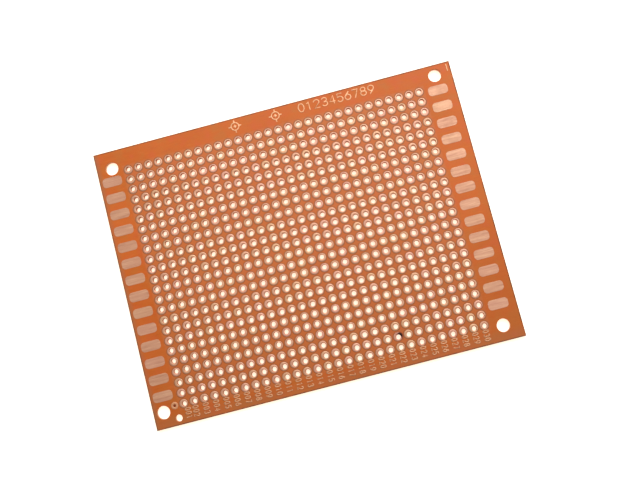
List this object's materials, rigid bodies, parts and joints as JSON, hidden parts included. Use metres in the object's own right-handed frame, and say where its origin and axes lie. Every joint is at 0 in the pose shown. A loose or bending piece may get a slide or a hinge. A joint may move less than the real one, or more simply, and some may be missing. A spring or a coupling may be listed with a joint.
{
  "type": "prototype board",
  "caption": "Single-sided prototype board: a punched paper-laminate sheet with a square grid of round copper pads, solder pads along both ends, and corner fixing holes.",
  "frame": {"origin": "centre of the plain back face, halfway along and halfway across the sheet", "axes": "+X along the 90.3 mm length towards the end whose pads stand further in, +Y across the sheet towards the first row of pads, +Z out of the copper face"},
  "size_m": [0.0904, 0.0688, 0.0012],
  "materials": {
    "laminate": "satin orange-brown phenolic paper with a faint fibre mottle, darker at its sheared edges, with one small scorched spot beside a hole",
    "pad_copper": null,
    "end_pad_copper": null,
    "legend_copper": null
  },
  "bodies": {
    "root": {"board": "laminate", "end_pads_left": "end_pad_copper", "end_pads_right": "end_pad_copper", "index_ring": "pad_copper", "pad_row_01": "pad_copper", "pad_row_02": "pad_copper", "pad_row_03": "pad_copper", "pad_row_04": "pad_copper", "pad_row_05": "pad_copper", "pad_row_06": "pad_copper", "pad_row_07": "pad_copper", "pad_row_08": "pad_copper", "pad_row_09": "pad_copper", "pad_row_10": "pad_copper", "pad_row_11": "pad_copper", "pad_row_12": "pad_copper", "pad_row_13": "pad_copper", "pad_row_14": "pad_copper", "pad_row_15": "pad_copper", "pad_row_16": "pad_copper", "pad_row_17": "pad_copper", "pad_row_18": "pad_copper", "pad_row_19": "pad_copper", "pad_row_20": "pad_copper", "pad_row_21": "pad_copper", "pad_row_22": "pad_copper", "pad_row_23": "pad_copper", "pad_row_24": "pad_copper"}
  },
  "joints": []
}
